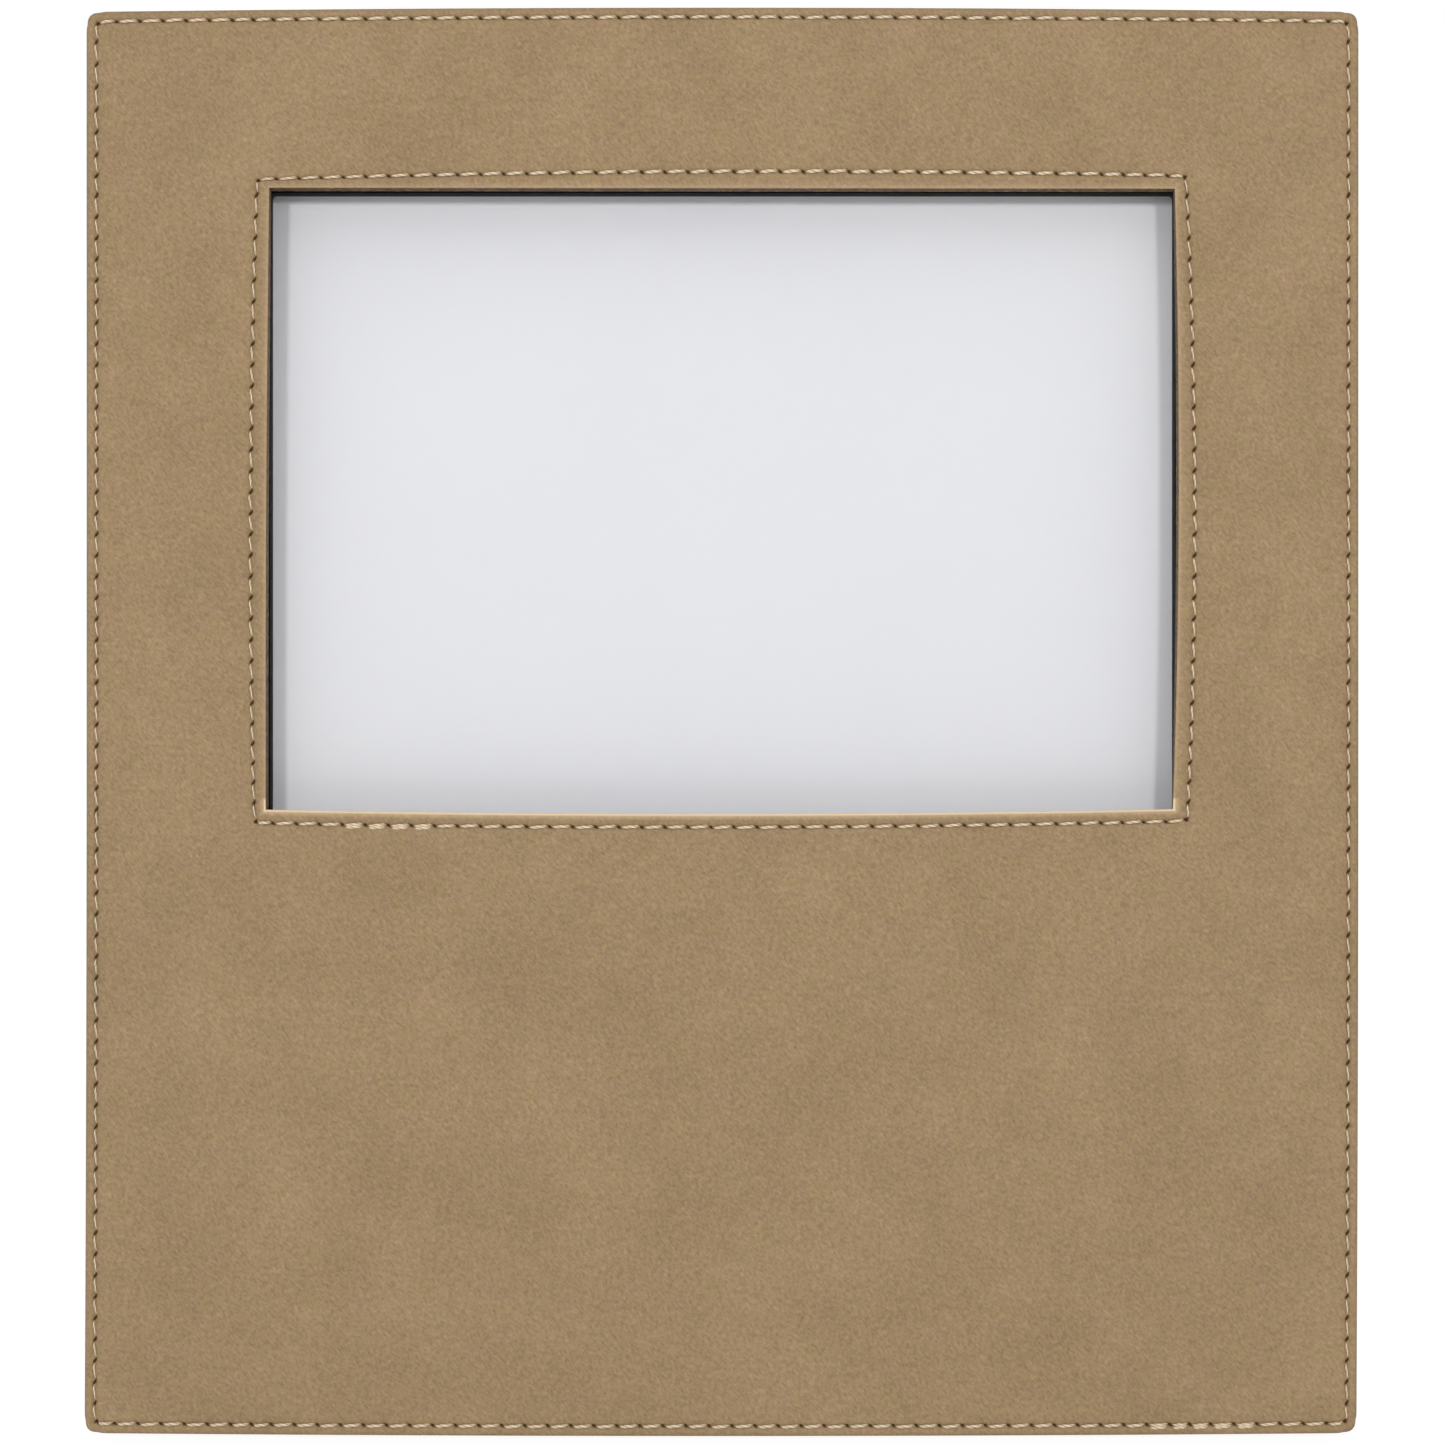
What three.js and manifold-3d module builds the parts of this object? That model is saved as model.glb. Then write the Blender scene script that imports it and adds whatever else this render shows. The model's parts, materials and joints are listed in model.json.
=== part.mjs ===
// A table-top photo frame covered in leatherette, standing on its easel leg. Millimetres, +Z up.
// The panel is drawn in its own plane: x to the right, y up the panel from its bottom edge, z out of
// the front face. A depth is counted back from the front face.
import * as THREE from 'three';
import { mergeVertices } from 'three/addons/utils/BufferGeometryUtils.js';
import Module from 'manifold-3d';

const wasm = await Module();
wasm.setup();

// Panel
const panelWidth = 230;
const panelHeight = 257;
const panelCornerRadius = 1.8;
const edgeRoundness = 1.2; // soft edge that the covering makes over the board
const lean = THREE.MathUtils.degToRad(15);
const seatGap = 0.3; // glue line or play between two pieces that lie on each other

// Window, and the print size that it is cut for
const windowWidth = 165;
const windowHeight = 113.5;
const windowTopMargin = 32;
const windowCornerRadius = 0.6;
const printWidth = 178;
const printHeight = 127;
const printPlay = 1.1; // between the print and the rebate, on each side

// Thickness of each layer, from front to rear
const leatheretteThickness = 1;
const boardThickness = 2;
const lipThickness = 3.8; // what the core leaves in front of the rebate
const glassThickness = 2;
const insertThickness = 0.4;
const fillerThickness = 1;
const doorThickness = 2.4;

// Turned-in leatherette and the black lining of the window
const windowTurnIn = 10;
const rearTurnInShare = 0.5; // of the rear border beside the rebate
const liningThickness = 0.6;
const liningStandProud = 0.2; // how far the lining's opening is smaller than the window
const doorPlay = 0.6;

// Seams
const stitchPitch = 4.06;
const threadRadius = 0.36;
const grooveWidth = 1.4;
const grooveDepth = 0.7;
const threadClearance = 0.12;
const threadLift = 0.7; // of the thread's radius, from the covering's face to the middle of a stitch
const stitchRampShare = 0.22; // of a stitch, from the needle hole to full height
const edgeSeamInset = 1.9;
const windowSeamInset = 2.1;
const windowSeamBow = 0.8; // the sewn line strays outwards in the middle of each side
const seamCornerCut = 2.6;

// Easel leg and its hinge
const hingeHeight = 175;
const legOpening = THREE.MathUtils.degToRad(25.7);
const legTopWidth = 40;
const legFootWidth = 62;
const legFootRadius = 7;
const legBoardThickness = 1.8;
const velveteenThickness = 0.4;
const legCutReach = 10; // of a cut through the leg, to both sides
const heelGap = 0.2; // between the leg's heel and the back door when the leg is open
const leafThickness = 0.6;
const leafWidth = 20;
const leafLength = 16;
const middleKnuckleWidth = 6;
const knucklePlay = 0.4;
const eyeWrap = THREE.MathUtils.degToRad(280);
const pinRadius = 0.9;
const pinOverhang = 0.4;

// Rivets of the hinge
const rivetShankRadius = 0.9;
const rivetHeadRadius = 2;
const rivetHeadHeight = 0.7;
const rivetSpread = 6; // of each rivet from the middle of the leaf
const rivetFromPin = 9;
const rivetCrownShare = 0.6; // of the head's radius that is flat on top

// Turn buttons and their screws
const buttonThickness = 1;
const buttonHalfWidth = 4.5;
const buttonReach = 13; // from the pivot to the far end, over the door
const buttonTail = 5.5;
const buttonSpread = 38; // above and below the middle of the window
const screwShankRadius = 1.3;
const screwHeadRadius = 2.9;
const screwHeadHeight = 1.5;
const screwGrip = 6.5; // length of shank in the core
const screwSlotWidth = 0.6;
const screwSlotDepth = 0.5;
const screwCrownShare = 0.7; // of the head's radius that is flat on top
const screwRimShare = 0.4; // of the head's height that is straight at the rim

// Depths that follow from the layers
const boardFront = leatheretteThickness + seatGap;
const boardRear = boardFront + boardThickness;
const turnInFront = boardRear + seatGap;
const turnInRear = turnInFront + leatheretteThickness;
const coreFront = turnInRear + seatGap;
const lipRear = coreFront + lipThickness;
const glassFront = lipRear + seatGap;
const glassRear = glassFront + glassThickness;
const insertFront = glassRear + seatGap;
const insertRear = insertFront + insertThickness;
const fillerFront = insertRear + seatGap;
const fillerRear = fillerFront + fillerThickness;
const doorFront = fillerRear + seatGap;
const doorRear = doorFront + doorThickness;
const coreRear = doorRear;
const backFront = coreRear + seatGap;
const panelDepth = backFront + leatheretteThickness;

// Outlines that follow from the sizes
const windowMiddle = panelHeight - windowTopMargin - windowHeight / 2;
const panelMiddle = panelHeight / 2;
const cavityWidth = panelWidth - 2 * leatheretteThickness;
const cavityHeight = panelHeight - 2 * leatheretteThickness;
const rebateWidth = printWidth + 2 * printPlay;
const rebateHeight = printHeight + 2 * printPlay;
const doorWidth = rebateWidth - 2 * doorPlay;
const doorHeight = rebateHeight - 2 * doorPlay;
const rearBorder = (cavityWidth - rebateWidth) / 2; // beside the rebate, on the rear
const rearTurnIn = rearBorder * rearTurnInShare;
const buttonPivotFromRebate = (rearBorder - rearTurnIn) / 2; // the middle of the rear lining's side
const innerCornerRadius = 0.8;

const cornerSteps = 1; // on each small corner
const curveSteps = 4; // on a larger arc or a bowed side
const roundSteps = 12; // round a turned piece or a hole
const threadSides = 3;
const edgeSteps = 3; // round the soft edge of the covering
const eyeSteps = 14; // round a rolled eye of the hinge
const overshoot = 1; // of a cutting tool past the face that it opens
const mergeDistance = 1e-4; // corners nearer than this are one corner

const finishes = {
  leatherette: { color: 0xa18a6b, roughness: 0.85, metalness: 0 },
  thread: { color: 0xe1cdaa, roughness: 0.7, metalness: 0 },
  fibreboard: { color: 0x6b4a2c, roughness: 0.9, metalness: 0 },
  mdf: { color: 0x8a6a48, roughness: 0.9, metalness: 0 },
  velveteen: { color: 0x15141a, roughness: 1, metalness: 0 },
  glass: { color: 0xdfe8e6, roughness: 0.05, metalness: 0, transparent: true, opacity: 0.3 },
  insert: { color: 0xe4e4e8, roughness: 0.8, metalness: 0 },
  card: { color: 0xb9b2a2, roughness: 0.9, metalness: 0 },
  steel: { color: 0xb8b6b0, roughness: 0.35, metalness: 1 },
};

const materials = {};
for (const [name, finish] of Object.entries(finishes)) {
  materials[name] = new THREE.MeshStandardMaterial({ name, ...finish });
}

// Closed outlines

function roundedRect(width, height, radius, middleY) {
  const right = width / 2;
  const top = middleY + height / 2;
  const bottom = middleY - height / 2;
  const shape = new THREE.Shape();
  shape.moveTo(-right + radius, bottom);
  shape.lineTo(right - radius, bottom);
  shape.absarc(right - radius, bottom + radius, radius, -Math.PI / 2, 0, false);
  shape.lineTo(right, top - radius);
  shape.absarc(right - radius, top - radius, radius, 0, Math.PI / 2, false);
  shape.lineTo(-right + radius, top);
  shape.absarc(-right + radius, top - radius, radius, Math.PI / 2, Math.PI, false);
  shape.lineTo(-right, bottom + radius);
  shape.absarc(-right + radius, bottom + radius, radius, Math.PI, 1.5 * Math.PI, false);
  return shape;
}

// The line of a seam: four sides that may bow outwards, with each corner cut by one stitch.
function seamLine(width, height, bow, middleY) {
  const right = width / 2;
  const top = middleY + height / 2;
  const bottom = middleY - height / 2;
  const shape = new THREE.Shape();
  shape.moveTo(-right + seamCornerCut, bottom);
  shape.quadraticCurveTo(0, bottom - 2 * bow, right - seamCornerCut, bottom);
  shape.lineTo(right, bottom + seamCornerCut);
  shape.quadraticCurveTo(right + 2 * bow, middleY, right, top - seamCornerCut);
  shape.lineTo(right - seamCornerCut, top);
  shape.quadraticCurveTo(0, top + 2 * bow, -right + seamCornerCut, top);
  shape.lineTo(-right, top - seamCornerCut);
  shape.quadraticCurveTo(-right - 2 * bow, middleY, -right, bottom + seamCornerCut);
  shape.lineTo(-right + seamCornerCut, bottom);
  return shape;
}

function windowShape(offset) {
  const radius = windowCornerRadius + Math.max(offset, 0);
  return roundedRect(windowWidth + 2 * offset, windowHeight + 2 * offset, radius, windowMiddle);
}

function withHole(shape, hole) {
  shape.holes.push(hole);
  return shape;
}

// A bent strip of sheet, seen from its edge: the path thickened to both sides.
function stripShape(path, thickness) {
  const left = [];
  const right = [];
  path.forEach((point, i) => {
    const before = path[Math.max(i - 1, 0)];
    const after = path[Math.min(i + 1, path.length - 1)];
    const along = after.clone().sub(before).normalize();
    const across = new THREE.Vector2(-along.y, along.x).multiplyScalar(thickness / 2);
    left.push(point.clone().add(across));
    right.push(point.clone().sub(across));
  });
  return new THREE.Shape([...left, ...right.reverse()]);
}

// Solids from outlines

// A layer of the panel, from one depth to another.
function layer(shape, front, rear, steps = cornerSteps) {
  const options = { depth: rear - front, bevelEnabled: false, curveSegments: steps };
  return new THREE.ExtrudeGeometry(shape, options).translate(0, 0, -rear);
}

// An outline in the y-z plane, drawn out evenly to both sides of x = 0.
function acrossPanel(shape, width) {
  const options = { depth: width, bevelEnabled: false, curveSegments: curveSteps };
  const turn = new THREE.Matrix4().makeBasis(
    new THREE.Vector3(0, 1, 0),
    new THREE.Vector3(0, 0, 1),
    new THREE.Vector3(1, 0, 0),
  );
  return new THREE.ExtrudeGeometry(shape, options).translate(0, 0, -width / 2).applyMatrix4(turn);
}

// A turned piece with its axis square to the panel, from a profile of [radius, height] pairs.
function turned(profile) {
  const points = profile.map(([radius, height]) => new THREE.Vector2(radius, height));
  return new THREE.LatheGeometry(points, roundSteps).rotateX(Math.PI / 2);
}

function hole(radius, x, y, front, rear) {
  const cylinder = new THREE.CylinderGeometry(radius, radius, rear - front, roundSteps);
  return cylinder.rotateX(Math.PI / 2).translate(x, y, -(front + rear) / 2);
}

function toManifold(geometry) {
  const bare = geometry.clone();
  bare.deleteAttribute('normal');
  bare.deleteAttribute('uv');
  const merged = mergeVertices(bare, mergeDistance);
  return new wasm.Manifold(new wasm.Mesh({
    numProp: 3,
    vertProperties: new Float32Array(merged.attributes.position.array),
    triVerts: new Uint32Array(merged.index.array),
  }));
}

function cut(geometry, tools) {
  let solid = toManifold(geometry);
  for (const tool of tools) {
    solid = solid.subtract(toManifold(tool));
  }
  const mesh = solid.getMesh();
  const result = new THREE.BufferGeometry();
  result.setAttribute('position', new THREE.BufferAttribute(new Float32Array(mesh.vertProperties), 3));
  result.setIndex(new THREE.BufferAttribute(new Uint32Array(mesh.triVerts), 1));
  result.computeVertexNormals();
  return result;
}

function piece(name, geometry, finish, parent) {
  const mesh = new THREE.Mesh(geometry, materials[finish]);
  mesh.name = name;
  parent.add(mesh);
  return mesh;
}

// Seam paths, shared by the groove in the covering and the thread that lies in it

function edgeSeam(offset) {
  const width = panelWidth - 2 * edgeSeamInset + 2 * offset;
  const height = panelHeight - 2 * edgeSeamInset + 2 * offset;
  return seamLine(width, height, 0, panelMiddle);
}

function windowSeam(offset) {
  const width = windowWidth + 2 * windowSeamInset + 2 * offset;
  const height = windowHeight + 2 * windowSeamInset + 2 * offset;
  return seamLine(width, height, windowSeamBow, windowMiddle);
}

function groove(seam) {
  const ring = withHole(seam(grooveWidth / 2), seam(-grooveWidth / 2));
  return layer(ring, -overshoot, grooveDepth, curveSteps);
}

// Sewing thread that lies on the covering and dips into it between one stitch and the next.
class SewnLoop extends THREE.Curve {
  constructor(line, stitches) {
    super();
    this.line = line;
    this.stitches = stitches;
    this.low = -grooveDepth + threadClearance + threadRadius;
    this.high = threadRadius * threadLift;
  }

  getPoint(t, target = new THREE.Vector3()) {
    const position = t * this.stitches;
    const stitch = Math.floor(position);
    const third = (position - stitch) * 3;
    const nearHole = Math.min(third, 3 - third);
    let along = stitchRampShare + (third - 1) * (1 - 2 * stitchRampShare);
    if (third < 1) {
      along = third * stitchRampShare;
    } else if (third > 2) {
      along = 1 - (3 - third) * stitchRampShare;
    }
    const spot = this.line.getPoint(Math.min((stitch + along) / this.stitches, 1));
    const height = THREE.MathUtils.lerp(this.low, this.high, Math.min(nearHole, 1));
    return target.set(spot.x, spot.y, height);
  }

  getPointAt(u, target) {
    return this.getPoint(u, target);
  }

  getTangentAt(u, target) {
    return this.getTangent(u, target);
  }
}

function thread(seam) {
  const line = seam(0);
  const stitches = Math.round(line.getLength() / stitchPitch);
  return new THREE.TubeGeometry(new SewnLoop(line, stitches), stitches * 3, threadRadius, threadSides, true);
}

// Leatherette: one skin over the front, round the edges and in at the rear and the window

function coverGeometry() {
  const outline = roundedRect(
    panelWidth - 2 * edgeRoundness,
    panelHeight - 2 * edgeRoundness,
    panelCornerRadius - edgeRoundness,
    panelMiddle,
  );
  const block = new THREE.ExtrudeGeometry(withHole(outline, windowShape(edgeRoundness)), {
    depth: panelDepth - 2 * edgeRoundness,
    bevelThickness: edgeRoundness,
    bevelSize: edgeRoundness,
    bevelSegments: edgeSteps,
    curveSegments: cornerSteps,
  }).translate(0, 0, -panelDepth + edgeRoundness);
  const inside = () => roundedRect(cavityWidth, cavityHeight, innerCornerRadius, panelMiddle);
  const rearWidth = cavityWidth - 2 * rearTurnIn;
  const rearHeight = cavityHeight - 2 * rearTurnIn;
  const rearOutline = roundedRect(rearWidth, rearHeight, innerCornerRadius, panelMiddle);
  return cut(block, [
    layer(withHole(inside(), windowShape(leatheretteThickness)), leatheretteThickness, turnInFront),
    layer(withHole(inside(), windowShape(windowTurnIn)), boardFront, coreFront),
    layer(inside(), turnInRear, backFront),
    layer(rearOutline, coreFront, panelDepth + overshoot),
    groove(edgeSeam),
    groove(windowSeam),
  ]);
}

// The height by which a geometry of the panel reaches below the panel's own origin once it leans.
function sinkBelowOrigin(geometry) {
  const leaning = geometry.clone().rotateX(Math.PI / 2 - lean);
  leaning.computeBoundingBox();
  return -leaning.boundingBox.min.z;
}

const frame = new THREE.Group();
const panel = new THREE.Group();
panel.rotation.x = Math.PI / 2 - lean;
frame.add(panel);

const coverSolid = coverGeometry();
const panelRise = sinkBelowOrigin(coverSolid);
piece('front_cover', coverSolid, 'leatherette', panel);
piece('outer_seam_thread', thread(edgeSeam), 'thread', panel);
piece('window_seam_thread', thread(windowSeam), 'thread', panel);

// Boards behind the covering

const boardWidth = cavityWidth - 2 * seatGap;
const boardHeight = cavityHeight - 2 * seatGap;
const boardOutline = () => roundedRect(boardWidth, boardHeight, innerCornerRadius, panelMiddle);
const boardHole = windowShape(leatheretteThickness + seatGap);
piece('facing_board', layer(withHole(boardOutline(), boardHole), boardFront, boardRear), 'fibreboard', panel);

const buttonPivotX = rebateWidth / 2 + buttonPivotFromRebate;
const buttonPlaces = [
  [-buttonPivotX, windowMiddle + buttonSpread],
  [buttonPivotX, windowMiddle + buttonSpread],
  [-buttonPivotX, windowMiddle - buttonSpread],
  [buttonPivotX, windowMiddle - buttonSpread],
];
const screwHoleRadius = screwShankRadius + seatGap;
const screwEnd = coreRear - screwGrip;
const rebateOutline = (inset) =>
  roundedRect(rebateWidth - 2 * inset, rebateHeight - 2 * inset, innerCornerRadius, windowMiddle);

const liningOuter = liningThickness - liningStandProud;
const coreHole = windowShape(liningOuter + seatGap);
const coreBlock = layer(withHole(boardOutline(), coreHole), coreFront, coreRear);
const coreTools = buttonPlaces.map(
  ([x, y]) => hole(screwHoleRadius, x, y, screwEnd - seatGap, coreRear + overshoot),
);
coreTools.push(layer(rebateOutline(0), lipRear, coreRear + overshoot));
piece('core_frame', cut(coreBlock, coreTools), 'mdf', panel);

const liningRing = withHole(windowShape(liningOuter), windowShape(-liningStandProud));
piece('window_lining', layer(liningRing, coreFront, lipRear), 'velveteen', panel);

// What lies in the rebate, from the glass to the back door

const printOutline = () => roundedRect(printWidth, printHeight, innerCornerRadius, windowMiddle);
piece('glass_pane', layer(printOutline(), glassFront, glassRear), 'glass', panel);
piece('insert_sheet', layer(printOutline(), insertFront, insertRear), 'insert', panel);
piece('filler_card', layer(printOutline(), fillerFront, fillerRear), 'card', panel);

const rivetHoleRadius = rivetShankRadius + seatGap;
const rivetSides = [-rivetSpread, rivetSpread];
const doorRivetHole = (x) =>
  hole(rivetHoleRadius, x, hingeHeight + rivetFromPin, doorFront - overshoot, panelDepth + overshoot);
const doorOutline = () => roundedRect(doorWidth, doorHeight, innerCornerRadius, windowMiddle);
const doorBoard = layer(doorOutline(), doorFront, doorRear);
piece('back_door', cut(doorBoard, rivetSides.map(doorRivetHole)), 'mdf', panel);
const doorCover = layer(doorOutline(), backFront, panelDepth);
piece('back_door_cover', cut(doorCover, rivetSides.map(doorRivetHole)), 'velveteen', panel);

const rearLiningOutline = roundedRect(
  cavityWidth - 2 * rearTurnIn - 2 * seatGap,
  cavityHeight - 2 * rearTurnIn - 2 * seatGap,
  innerCornerRadius,
  panelMiddle,
);
const rearLiningRing = layer(withHole(rearLiningOutline, rebateOutline(0)), backFront, panelDepth);
const liningHoles = buttonPlaces.map(
  ([x, y]) => hole(screwHoleRadius, x, y, coreRear, panelDepth + overshoot),
);
piece('rear_lining', cut(rearLiningRing, liningHoles), 'velveteen', panel);

// Turn buttons: flat pressed tongues that swing on their screws and hold the door in

const buttonFront = panelDepth + seatGap;
const buttonRear = buttonFront + buttonThickness;
const screwHeadFront = buttonRear + seatGap;

function buttonGeometry() {
  const round = buttonHalfWidth;
  const shape = new THREE.Shape();
  shape.moveTo(-buttonTail + round, -round);
  shape.lineTo(buttonReach - round, -round);
  shape.absarc(buttonReach - round, 0, round, -Math.PI / 2, Math.PI / 2, false);
  shape.lineTo(-buttonTail + round, round);
  shape.absarc(-buttonTail + round, 0, round, Math.PI / 2, 1.5 * Math.PI, false);
  const pivotHole = new THREE.Path();
  pivotHole.absarc(0, 0, screwHoleRadius, 0, 2 * Math.PI, false);
  return layer(withHole(shape, pivotHole), buttonFront, buttonRear, curveSteps);
}

function screwGeometry() {
  const underHead = -screwHeadFront;
  const top = underHead - screwHeadHeight;
  const end = -screwEnd;
  const screw = turned([
    [0, top],
    [screwHeadRadius * screwCrownShare, top],
    [screwHeadRadius, underHead - screwHeadHeight * screwRimShare],
    [screwHeadRadius, underHead],
    [screwShankRadius, underHead],
    [screwShankRadius, end - screwShankRadius],
    [0, end],
  ]);
  const slot = new THREE.BoxGeometry(3 * screwHeadRadius, screwSlotWidth, 2 * screwSlotDepth);
  return cut(screw, [slot.translate(0, 0, top)]);
}

buttonPlaces.forEach(([x, y], i) => {
  const button = piece(`turn_button_${i + 1}`, buttonGeometry(), 'steel', panel);
  button.position.set(x, y, 0);
  button.rotation.z = x > 0 ? Math.PI : 0;
  const screw = piece(`turn_button_screw_${i + 1}`, screwGeometry(), 'steel', panel);
  screw.position.set(x, y, 0);
});

// Hinge: two leaves of sheet steel, each rolled round the pin

const eyeRadius = pinRadius + seatGap + leafThickness / 2;
const eyeOuterRadius = eyeRadius + leafThickness / 2;
const pinStandoff = seatGap + leafThickness / 2 + eyeRadius; // of the pin's axis from the rear face
const pinDepth = panelDepth + pinStandoff;

// The fixed leaf's edge, drawn as [y, z] about the pin: up the door, then round the pin.
function leafEdge() {
  const path = [new THREE.Vector2(leafLength, eyeRadius)];
  for (let i = 0; i <= eyeSteps; i += 1) {
    const angle = Math.PI / 2 + (eyeWrap * i) / eyeSteps;
    path.push(new THREE.Vector2(eyeRadius * Math.cos(angle), eyeRadius * Math.sin(angle)));
  }
  return stripShape(path, leafThickness);
}

function knuckleCutter(left, right) {
  const size = 2 * (eyeOuterRadius + knucklePlay);
  return new THREE.BoxGeometry(right - left, size, size).translate((left + right) / 2, 0, 0);
}

function leafRivetHole(x) {
  return hole(rivetHoleRadius, x, rivetFromPin, -3 * eyeRadius, 3 * eyeRadius);
}

const middleHalf = middleKnuckleWidth / 2;
const wholeLeaf = acrossPanel(leafEdge(), leafWidth);
const fixedLeaf = cut(wholeLeaf, [
  knuckleCutter(-middleHalf - knucklePlay, middleHalf + knucklePlay),
  ...rivetSides.map(leafRivetHole),
]);
const legLeaf = cut(wholeLeaf, [
  knuckleCutter(-leafWidth, -middleHalf),
  knuckleCutter(middleHalf, leafWidth),
  ...rivetSides.map(leafRivetHole),
]).rotateX(Math.PI);

const hinge = new THREE.Group();
hinge.position.set(0, hingeHeight, -pinDepth);
panel.add(hinge);
piece('hinge_fixed_leaf', fixedLeaf, 'steel', hinge);

const pinLength = leafWidth + 2 * pinOverhang;
const pinGeometry = new THREE.CylinderGeometry(pinRadius, pinRadius, pinLength, roundSteps);
piece('hinge_pin', pinGeometry.rotateZ(Math.PI / 2), 'steel', hinge);

// The leg hangs from the pin: y runs back up to the pin, z towards the panel.
const leg = new THREE.Group();
leg.rotation.x = legOpening;
hinge.add(leg);
piece('hinge_leg_leaf', legLeaf, 'steel', leg);

const legCoverRear = -eyeRadius + leafThickness / 2 + seatGap;
const legBoardRear = legCoverRear + velveteenThickness + seatGap;
const legFront = legBoardRear + legBoardThickness;
const pinHeight = panelRise + hingeHeight * Math.cos(lean) - pinDepth * Math.sin(lean);
const legTilt = legOpening - lean; // past the vertical
const legLength = (pinHeight - legFront * Math.sin(legTilt)) / Math.cos(legTilt);
// The heel: the leg's top corner, which meets the door when the leg is open.
const heelRise = (pinStandoff - heelGap - legFront * Math.cos(legOpening)) / Math.sin(legOpening);

function legOutline(inset) {
  const top = legTopWidth / 2 - inset;
  const foot = legFootWidth / 2 - inset;
  const bottom = -legLength + inset;
  const radius = legFootRadius - inset;
  const shape = new THREE.Shape();
  shape.moveTo(top, heelRise - inset);
  shape.lineTo(-top, heelRise - inset);
  shape.lineTo(-foot, bottom + radius);
  shape.absarc(-foot + radius, bottom + radius, radius, Math.PI, 1.5 * Math.PI, false);
  shape.lineTo(foot - radius, bottom);
  shape.absarc(foot - radius, bottom + radius, radius, -Math.PI / 2, 0, false);
  return shape;
}

const hingeNotchDrop = eyeOuterRadius + knucklePlay;
const hingeNotch = new THREE.BoxGeometry(leafWidth + 2 * knucklePlay, 4 * hingeNotchDrop, 2 * legCutReach);
hingeNotch.translate(0, hingeNotchDrop, 0);
const legRivetHoles = rivetSides.map(
  (x) => hole(rivetHoleRadius, x, -rivetFromPin, -legCutReach, legCutReach),
);
const legLayer = (inset, front, rear) => layer(legOutline(inset), -front, -rear, curveSteps);
const legHollow = legLayer(velveteenThickness, legFront + overshoot, legCoverRear + velveteenThickness);
const legCoverBlock = legLayer(0, legFront, legCoverRear);
const legBoard = legLayer(velveteenThickness + seatGap, legFront, legBoardRear);
piece('easel_leg', cut(legBoard, [hingeNotch, ...legRivetHoles]), 'mdf', leg);
piece('easel_leg_cover', cut(legCoverBlock, [legHollow, hingeNotch, ...legRivetHoles]), 'velveteen', leg);

// Rivets: a low domed head on the leaf, and a shank through what the leaf is riveted to

function rivetGeometry(headFront, shankEnd) {
  return turned([
    [0, headFront - rivetHeadHeight],
    [rivetHeadRadius * rivetCrownShare, headFront - rivetHeadHeight],
    [rivetHeadRadius, headFront],
    [rivetShankRadius, headFront],
    [rivetShankRadius, shankEnd],
    [0, shankEnd],
  ]);
}

const doorRivet = rivetGeometry(-panelDepth - 2 * seatGap - leafThickness, -doorFront);
const legRivet = rivetGeometry(legCoverRear - 2 * seatGap - leafThickness, legFront);
rivetSides.forEach((x, i) => {
  const upper = piece(`hinge_rivet_${i + 1}`, doorRivet, 'steel', panel);
  upper.position.set(x, hingeHeight + rivetFromPin, 0);
  const lower = piece(`hinge_rivet_${i + 3}`, legRivet, 'steel', leg);
  lower.position.set(x, -rivetFromPin, 0);
});

// The origin: on the ground, under the middle of the frame's box

frame.updateMatrixWorld(true);
const box = new THREE.Box3().setFromObject(frame, true);
const middle = box.getCenter(new THREE.Vector3());
frame.position.set(-middle.x, -middle.y, -box.min.z);

export default frame;
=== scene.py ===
import json
import random
from bisect import bisect_left
from math import atan2, cos, exp, hypot, pi, radians, sin

import bmesh
import bpy
from mathutils import Matrix, Vector, noise

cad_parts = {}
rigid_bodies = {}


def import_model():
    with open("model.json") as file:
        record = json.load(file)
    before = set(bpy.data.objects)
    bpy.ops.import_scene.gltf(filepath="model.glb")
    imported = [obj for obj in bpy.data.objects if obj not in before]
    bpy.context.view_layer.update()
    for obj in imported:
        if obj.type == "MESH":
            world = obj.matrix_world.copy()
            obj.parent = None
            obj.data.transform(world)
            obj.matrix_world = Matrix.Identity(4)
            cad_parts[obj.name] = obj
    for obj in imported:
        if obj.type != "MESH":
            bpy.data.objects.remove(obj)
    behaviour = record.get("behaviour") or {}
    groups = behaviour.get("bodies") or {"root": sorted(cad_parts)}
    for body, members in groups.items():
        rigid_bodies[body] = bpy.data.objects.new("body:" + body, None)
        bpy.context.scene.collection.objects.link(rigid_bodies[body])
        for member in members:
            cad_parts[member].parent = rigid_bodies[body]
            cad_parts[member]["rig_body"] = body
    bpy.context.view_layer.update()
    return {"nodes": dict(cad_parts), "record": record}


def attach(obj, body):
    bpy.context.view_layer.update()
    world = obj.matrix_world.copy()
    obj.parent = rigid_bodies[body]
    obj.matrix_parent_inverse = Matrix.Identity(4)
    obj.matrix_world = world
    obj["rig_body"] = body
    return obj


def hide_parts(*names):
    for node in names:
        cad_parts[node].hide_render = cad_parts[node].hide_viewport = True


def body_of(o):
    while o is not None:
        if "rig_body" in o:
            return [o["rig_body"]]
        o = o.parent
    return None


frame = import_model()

# The panel leans back. Its own plane is used for modelling, in millimetres: x to the right, y up from the
# bottom edge, z out of the front face. One matrix puts the finished mesh in its place.
plateMount = next(mount for mount in frame["record"]["mounts"] if mount["name"] == "plate_face")
plateHeight = 0.056  # of that mount above the panel's bottom edge, in metres
millimetre = 0.001
outward = Vector(plateMount["axis"])
upPanel = Vector((0, outward.z, -outward.y))
panelOrigin = Vector(plateMount["pos_m"]) - plateHeight * upPanel
basis = Matrix((Vector((1, 0, 0)), upPanel, outward)).transposed().to_4x4()
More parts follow.
